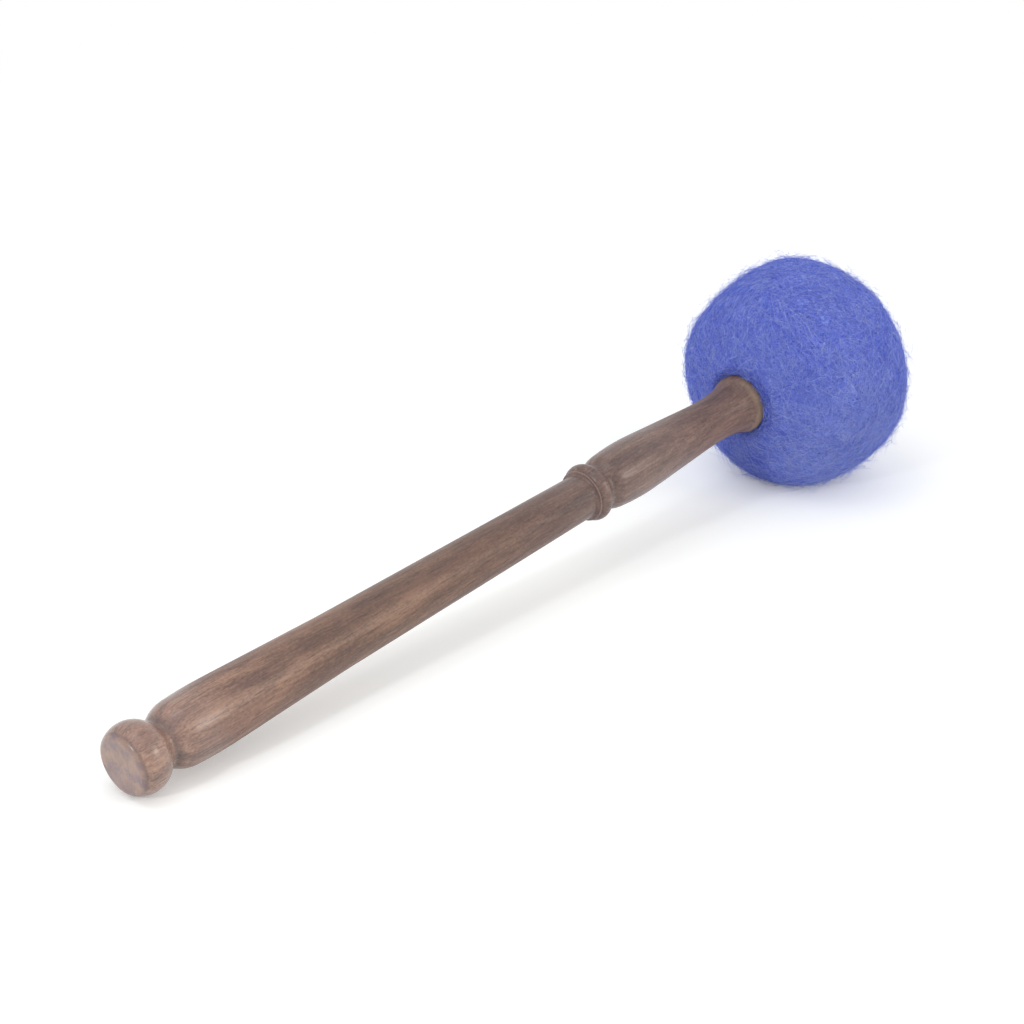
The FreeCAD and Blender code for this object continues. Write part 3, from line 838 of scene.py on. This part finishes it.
# %% [markdown]
# Each swell fades with the angle from its own direction, as a bell curve does. Python moves the
# vertices one by one, which is plainer than a tree and quick enough.

# %% Felt shell
FELT_SIDES = 224
FELT_LUMPS = dict(lump=0.0006, lump_size=0.016)
FUZZ_ROOM, REST_EDGE, MOUTH_EDGE = 0.0009, 0.018, 0.010
SWELLS = [    # direction, amount, spread in degrees
    ((-0.295, 0.737, 0.608), -0.0017, 20.0),    # flat side behind the collar
    ((0.603, -0.127, 0.788), -0.0009, 14.0),    # flat top
    ((0.134, 0.420, 0.897), 0.0003, 12.0),      # ridge between them
    ((0.668, -0.261, 0.696), -0.0005, 40.0),    # the whole upper right
    ((0.071, -0.612, -0.787), 0.0006, 18.0),    # fuller beside the resting place
    ((0.460, -0.786, -0.413), 0.0011, 14.0),    # loose tuft on the low right
]


def shape_by_hand(piece):
    """Press and swell the ball where the felter's hands did, and leave room for the fuzz."""
    for vertex, give in zip(piece.data.vertices, piece.data.attributes["give"].data):
        if give.value == 0.0:
            continue
        way = (vertex.co - HEAD_MIDDLE).normalized()
        from_mouth = (vertex.co - on_axis(MOUTH_STATION)).length - rim_radius
        room = min(1.0, vertex.co.z / REST_EDGE) * min(1.0, max(0.0, from_mouth / MOUTH_EDGE))
        vertex.co -= way * FUZZ_ROOM * room
        for direction, amount, spread in SWELLS:
            angle = math.degrees(way.angle(Vector(direction)))
            vertex.co += way * amount * math.exp(-(angle / spread) ** 2)
        vertex.co.z = max(vertex.co.z, 0.0)


felt = turn_piece("felt_head", felt_outline, blue_felt, FELT_SIDES, **FELT_LUMPS)
shape_by_hand(felt)
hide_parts("felt_skin")
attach(felt, "root")

# %% [markdown]
# ## Wound wool
# Under the blue felt lies undyed wool, wound in strands round a turned softwood core. The CAD solid
# of the wool is a plain bevelled drum, and real wool rounds itself off as it is wound. Cutting the
# corners of its outline a few times gives such a soft form, and never leaves the drum.
# Its strands are noise in coordinates that wind about the axis.

# %% Wound wool
WOOL_SIDES = 96
CORNER_CUTS = 4


def rounded(points):
    """Cut the corners of an outline again and again. Both of its ends stay."""
    for _ in range(CORNER_CUTS):
        cut = [points[0]]
        for first, second in zip(points, points[1:]):
            for share in (0.25, 0.75):
                cut.append(tuple(a + (b - a) * share for a, b in zip(first, second)))
        points = cut + [points[-1]]
    return points


def wool_finish(graph):
    x, y, z = plank_space(graph)
    turn = graph.math("ARCTAN2", y, z)
    depth = graph.math("SQRT", y * y + z * z)
    wound = graph.vector(x * 420 + turn * 0.9, turn * 1.5, depth * 60)
    strands = graph.noise(wound, 1.0, 3.0, 0.6)
    fluff = threads(graph, graph.object_place(), 420.0, 0.07)
    wool = graph.ramp(strands * 0.8 + fluff * 0.2, (0.3, colour(186, 174, 148)),
                      (0.55, colour(216, 207, 184)), (0.8, colour(238, 232, 216)))
    return {
        "Base Color": wool,
        "Roughness": 0.95,
        "Sheen Weight": 0.3,
        "Normal": graph.bump(0.6, 0.0006, strands + fluff * 0.4),
    }


wool_outside = rounded(wadding_hull)
wool_inside = widened(core_hull, SOFT_GAP)
wool_outline = shell_outline(wool_outside, wool_inside, tenon_radius + SOFT_GAP)
raw_wool = make_material("raw_wool", wool_finish)
wadding = turn_piece("wound_wool", wool_outline, raw_wool, WOOL_SIDES, lump=0.0001, lump_size=0.01)
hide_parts("wool_wadding")
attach(wadding, "root")

# %% [markdown]
# ## Core and glue
# The core and the film of glue round the tenon keep their CAD solids, and only get a finish each.
# The softwood is the same plank pattern as the handle's, with its rings showing most. The glue is
# amber, cloudy and full of small bubbles.

# %% Core and glue
def softwood_finish(graph):
    x, y, z = plank_space(graph)
    rings, bands, streaks, pores = wood_pattern(graph, x, y, z)
    tone = rings * 0.5 + bands * 0.25 + streaks * 0.25
    wood = graph.ramp(tone, (0.25, colour(196, 160, 112)), (0.55, colour(218, 186, 138)),
                      (0.85, colour(170, 124, 76)))
    return {
        "Base Color": graph.blend(pores * 0.25, wood, colour(150, 108, 66)),
        "Roughness": 0.65 + streaks * 0.15,
        "Normal": graph.bump(0.3, 0.0002, rings),
    }


def glue_finish(graph):
    place = graph.object_place()
    smears = graph.noise(place, 260.0, 3.0)
    bubbles = graph.step(graph.noise(place, 1400.0, 1.0), 0.66, 0.74)
    amber = graph.blend(smears, colour(170, 118, 52), colour(222, 178, 104))
    return {
        "Base Color": graph.blend(bubbles * 0.5, amber, colour(236, 208, 150)),
        "Roughness": 0.22 + smears * 0.25,
        "Normal": graph.bump(0.3, 0.0002, smears),
    }


softwood = make_material("softwood", softwood_finish)
dried_glue = make_material("dried_glue", glue_finish)
for name, material in (("head_core", softwood), ("tenon_glue", dried_glue)):
    for slot in nodes[name].material_slots:
        slot.material = material

# %% [markdown]
# ## Loose fibres
# The felt's surface is a tangle of single wool fibres, and a halo of them stands out all round the
# ball. A hair system could draw them, but the mallet has to leave Blender as plain meshes, so each
# fibre is a thin tube with three sides.
# Geometry Nodes first scatter short lines over the felt and turn them the same way as their
# neighbours, as a felter's rubbing does, with some disorder.

# %% Scatter
PATCH_SOFT = 0.06
SHORTEST, LONGEST = 0.45, 1.4    # shares of the length


def chance(graph, given, seed, key=None, low=0.0, high=1.0):
    """Random number for each root or, with a key, for each fibre."""
    values = {"Min": low, "Max": high, "Seed": given["Seed"] + seed}
    if key is not None:
        values["ID"] = key
    return graph.node("FunctionNodeRandomValue", {"data_type": "FLOAT"}, values, "Value")


def scatter_lines(graph, given, place):
    """Short straight lines all over the surface, or over the patch alone."""
    way = graph.way(given["Middle"], place)
    facing = graph.vector_math("DOT_PRODUCT", way, given["Patch"], output="Value")
    edge = given["Patch edge"]
    grown = graph.step(facing, edge - PATCH_SOFT, edge + PATCH_SOFT)
    values = {"Mesh": given["Geometry"], "Density": given["Density"] * grown,
              "Seed": given["Seed"]}
    roots = graph.geometry("DistributePointsOnFaces", values)
    heading = graph.noise(place, 1 / given["Swirl size"], 1.0) * (4 * math.pi)
    heading = heading + chance(graph, given, 1, low=-1.0) * given["Disorder"]
    values = {"Axis": (0.0, 0.0, 1.0), "Angle": heading}
    spin = graph.node("FunctionNodeAxisAngleToRotation", None, values)
    values = {"Rotation": roots["Rotation"], "Rotate By": spin}
    turned = graph.node("FunctionNodeRotateRotation", {"rotation_space": "LOCAL"}, values)
    start, end = graph.vector(given["Length"] * -0.5), graph.vector(given["Length"] * 0.5)
    line = graph.geometry("CurvePrimitiveLine", {"Start": start, "End": end})
    line = graph.geometry("ResampleCurve", {"Curve": line, "Count": given["Points"]})
    size = chance(graph, given, 2, None, SHORTEST, LONGEST)
    values = {"Points": roots, "Instance": line, "Rotation": turned,
              "Scale": graph.vector(size, size, size)}
    lines = graph.geometry("InstanceOnPoints", values)
    return graph.geometry("RealizeInstances", {"Geometry": lines})


# %% [markdown]
# A noise of its own bends each line into a curl. Every point of it then goes back to the nearest
# place on the felt, a little above it or below, where the fibre disappears into the mat. Fibres of
# a halo are lifted off along their length.

# %% Curl and lay
def curl_lines(graph, given, lines, near):
    """Bend each fibre by a noise."""
    bend = graph.scaled(graph.waver(near, 1 / given["Curl size"], 1.0), given["Curl"])
    return graph.geometry("SetPosition", {"Geometry": lines, "Offset": bend})


def lay_lines(graph, given, lines, near, fibre):
    """Lay fibres on the felt, partly under the surface, or let them stand at their free end."""
    nearest = graph.geometry("Proximity", {0: given["Geometry"]}, output="Position")
    out = graph.way(given["Middle"], nearest)
    along = graph.geometry("SplineParameter", output="Factor")
    lie = chance(graph, given, 6, fibre)
    weave = graph.noise(near, 1 / given["Curl size"], 1.0)
    height = given["Sink"] + (given["Rise"] - given["Sink"]) * (weave * 0.7 + lie * 0.3)
    away = chance(graph, given, 7, fibre)
    height = height + given["Stand"] * away * away * along * along
    spot = graph.vector_math("ADD", nearest, graph.scaled(out, height))
    x, y, z = graph.parts(spot)
    spot = graph.vector(x, y, graph.math("MAXIMUM", z, given["Thickness"]))
    return graph.geometry("SetPosition", {"Geometry": lines, "Position": spot})


# %% [markdown]
# The whole tree scatters, curls and lays the lines, gives each fibre a random shade that its
# material reads as an attribute, and makes the lines into tubes.

# %% Fibre tree
FIBRE_SIDES = 3


def make_fibre_tree():
    numbers = ("Density", "Length", "Swirl size", "Disorder", "Curl", "Curl size", "Thickness",
               "Sink", "Rise", "Stand", "Patch edge")
    inputs = {"Seed": "Int", "Points": "Int", "Middle": "Vector", "Patch": "Vector",
              "Material": "Material", **{name: "Float" for name in numbers}}
    tree, graph, given = new_tree("loose fibres", inputs)
    place = graph.geometry("InputPosition")
    lines = scatter_lines(graph, given, place)
    fibre = graph.geometry("CurveOfPoint", output="Curve Index")
    own = graph.vector(*(chance(graph, given, seed, fibre) for seed in (3, 4, 5)))
    near = graph.vector_math("ADD", place, own)
    lines = curl_lines(graph, given, lines, near)
    lines = lay_lines(graph, given, lines, near, fibre)
    values = {"Geometry": lines, "Name": "shade", "Value": chance(graph, given, 8, fibre)}
    lines = graph.geometry("StoreNamedAttribute", values)
    values = {"Resolution": FIBRE_SIDES, "Radius": given["Thickness"] * 0.5}
    rim = graph.geometry("CurvePrimitiveCircle", values)
    values = {"Curve": lines, "Profile Curve": rim, "Fill Caps": True}
    tubes = graph.geometry("CurveToMesh", values)
    finish_tree(graph, tubes, given["Material"])
    return tree


fibre_tree = make_fibre_tree()
print("The fibre tree has", len(fibre_tree.nodes), "nodes")

# %% [markdown]
# ## Finish of the fibres
# A single fibre is paler than the mat, because light goes through it. Fibres that lie matted in the
# felt keep more of its deep blue than those that stand loose in the light.

# %% Fibre finish
def fibre_finish(graph, dark, middle, light):
    shade = graph.node("ShaderNodeAttribute", {"attribute_name": "shade"}, None, "Fac")
    wool = graph.ramp(shade, (0.0, dark), (0.55, middle), (1.0, light))
    # Paler wool and painted light on the low side, as on the felt
    pale = pale_and_lit_share(graph, graph.object_place()) * (0.12 + shade * 0.5)
    return {
        "Base Color": graph.blend(pale, wool, colour(186, 201, 255)),
        "Roughness": 0.8,
        "Specular IOR Level": 0.2,
        "Sheen Weight": 0.9,
        "Sheen Roughness": 0.3,
        "Sheen Tint": colour(150, 172, 255),
    }


matted = make_material("wool_fibre", fibre_finish, colour(70, 86, 208), colour(122, 140, 244),
                       colour(192, 207, 255))
loose = make_material("loose_wool_fibre", fibre_finish, colour(112, 130, 246),
                      colour(146, 165, 255), colour(202, 215, 255))

# %% [markdown]
# ## Layers of fibres
# A layer is a few named numbers: how many fibres, how long, how curly, how deep they lie. Matted
# and surface fibres make the tangle, and long wrap fibres show how the wool was laid round the
# ball. The halo, the denser fringe and the short nap stand off it. Tufts thicken the pale side, and
# a few more fibres grow round the mouth, where the collar rubs the felt up.
# All grow on a copy of the felt's outside, so that none ends up inside.

# %% Fibre layers
GROUND_SIDES = 128
MOUTH_FUZZ_WIDTH = 0.0025
USUAL = dict(
    points=8, swirl_size=0.02, sink=-0.0001, rise=0.0003, stand=0.0, patch=(0.0, 0.0, 0.0),
    patch_edge=-1.0, material=matted)    # a patch this wide is the whole ball
LOOSE = dict(disorder=3.1, material=loose)
LAYERS = {
    "matted_fibres": dict(
        count=4400, seed=11, length=0.011, swirl_size=0.03, disorder=2.2, curl=0.013,
        curl_size=0.0035, thickness=0.00015, sink=-0.0002, rise=0.00014),
    "surface_fibres": dict(
        count=4400, seed=23, length=0.015, swirl_size=0.04, disorder=1.8, curl=0.014,
        curl_size=0.005, thickness=0.00012),
    "wrap_fibres": dict(
        count=1500, seed=31, points=12, length=0.034, swirl_size=0.09, disorder=0.35,
        curl=0.010, curl_size=0.014, thickness=0.00014),
    "halo_fibres": dict(
        LOOSE, count=4200, seed=37, length=0.012, curl=0.014, curl_size=0.004,
        thickness=0.00007, sink=-0.0002, stand=0.0044),
    "fringe_fibres": dict(
        LOOSE, count=4400, seed=43, length=0.008, curl=0.010, curl_size=0.003,
        thickness=0.00008, stand=0.0024),
    "tuft_fibres": dict(
        count=15000, seed=47, length=0.013, disorder=2.0, curl=0.013, curl_size=0.004,
        thickness=0.00010, rise=0.0004, stand=0.0004, patch=PALE_AND_LIT_SIDE, patch_edge=0.955),
    "nap_fibres": dict(
        LOOSE, count=9500, seed=41, points=4, length=0.0050, curl=0.006, curl_size=0.0025,
        thickness=0.00008, sink=-0.0002, rise=0.0001, stand=0.0014),
}
COLLAR_FUZZ = dict(
    count=1300, seed=53, points=6, length=0.006, swirl_size=0.01, disorder=3.1, curl=0.006,
    curl_size=0.003, thickness=0.00009, sink=-0.0002, stand=0.0045)


def make_ground(name, outline):
    """Thin surface on which fibres grow, as uneven as the felt itself."""
    ground = turn_piece(name, outline, blue_felt, GROUND_SIDES, **FELT_LUMPS)
    shape_by_hand(ground)
    return ground


def grow_fibres(name, ground, count, **numbers):
    """Grow a layer of so many fibres on a ground."""
    density = count / sum(face.area for face in ground.data.polygons)
    piece = run_tree(fibre_tree, name, ground.data, density=density, middle=HEAD_MIDDLE,
                     **{**USUAL, **numbers})
    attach(piece, "root")
    print(f"{name}: {len(piece.data.polygons)} faces")


outside = [point for point in felt_outline if point[2] == 1.0]
ground = make_ground("felt_ground", outside)
for name, numbers in LAYERS.items():
    grow_fibres(name, ground, **numbers)
mouth_side = [point for point in outside
              if point[0] < HEAD_MIDDLE_STATION and point[1] < rim_radius + MOUTH_FUZZ_WIDTH]
mouth_ground = make_ground("mouth_ground", mouth_side)
grow_fibres("collar_fuzz", mouth_ground, **COLLAR_FUZZ)
for surface in (ground, mouth_ground):
    bpy.data.objects.remove(surface)

# %% [markdown]
# ## Size of the CAD box
# The dressed mallet may reach a little past the CAD model's box, as fuzz does, and no further.
# The size of that box is printed here.

# %% Size
cad_size = cad_box[1] - cad_box[0]
print("Size of the CAD box in millimetres:", [round(side * 1000, 1) for side in cad_size])
